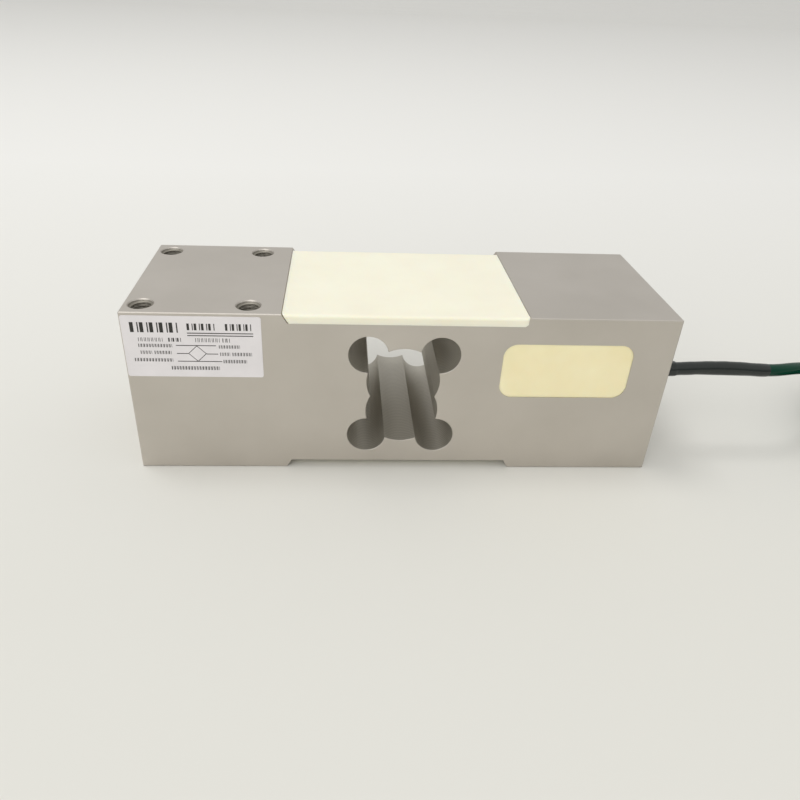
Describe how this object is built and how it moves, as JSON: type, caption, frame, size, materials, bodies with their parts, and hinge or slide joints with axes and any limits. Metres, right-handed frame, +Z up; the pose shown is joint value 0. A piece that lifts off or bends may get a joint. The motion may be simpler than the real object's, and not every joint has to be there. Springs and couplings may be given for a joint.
{
  "type": "single point load cell",
  "caption": "Aluminium single point load cell: a milled beam with a bored flexure cavity, silicone-potted gauges, tapped mounting holes and a shielded cable with stripped cores.",
  "frame": {"origin": "centre of the spring element's underside", "axes": "+X along the beam from the load end towards the cable end, +Y from the face with the filled side pocket to the back, +Z up through the load face"},
  "size_m": [0.3763, 0.0918, 0.063],
  "materials": {
    "machined_aluminium": "brushed, bead-blasted satin with machining lines in the bores",
    "silicone_white": "cast white silicone, semi-matt and slightly cloudy",
    "silicone_ivory": "cast ivory silicone, semi-matt",
    "gauge_film": "amber backing film with a copper-coloured foil grid",
    "lead_enamel": "red-brown enamelled wire",
    "board_laminate": "green circuit laminate",
    "chip_ceramic": "black chip resistor",
    "solder": "bright solder",
    "core_bundle": "coloured wire insulation",
    "label_film": "pale satin film with plain dark bars and a diamond",
    "cable_jacket": "dark green soft PVC jacket, semi-gloss",
    "shrink_black": "black shrink sleeve, glossy",
    "tie_white": "natural nylon tie",
    "red_core": "red insulation",
    "black_core": "black insulation",
    "green_core": "green insulation",
    "white_core": "white insulation",
    "blue_core": "blue insulation",
    "yellow_core": "yellow insulation",
    "tinned_copper": "tinned copper strands"
  },
  "bodies": {
    "root": {"spring_element": "machined_aluminium", "gauge_top_left": "gauge_film", "gauge_top_right": "gauge_film", "gauge_bottom_left": "gauge_film", "gauge_bottom_right": "gauge_film", "gauge_leads_top_left": "lead_enamel", "gauge_leads_top_right": "lead_enamel", "gauge_leads_bottom_left": "lead_enamel", "gauge_leads_bottom_right": "lead_enamel", "trimming_board": "board_laminate", "span_resistor_plus": "chip_ceramic", "zero_balance_resistor": "chip_ceramic", "zero_drift_resistor": "chip_ceramic", "input_resistor": "chip_ceramic", "span_resistor_minus": "chip_ceramic", "pocket_cores": "core_bundle", "solder_joints": "solder", "top_potting": "silicone_white", "bottom_potting": "silicone_white", "pocket_potting": "silicone_ivory", "front_label": "label_film", "cable": "cable_jacket", "cable_sleeve": "shrink_black", "cable_collar": "shrink_black", "cable_coil": "cable_jacket", "coil_tie_near": "tie_white", "coil_tie_far": "tie_white", "cable_tail": "cable_jacket", "end_sleeve": "shrink_black", "core_red": "red_core", "core_black": "black_core", "core_green": "green_core", "core_white": "white_core", "core_blue": "blue_core", "core_yellow": "yellow_core", "tinned_tips": "tinned_copper", "drain_wire": "tinned_copper"}
  },
  "joints": []
}
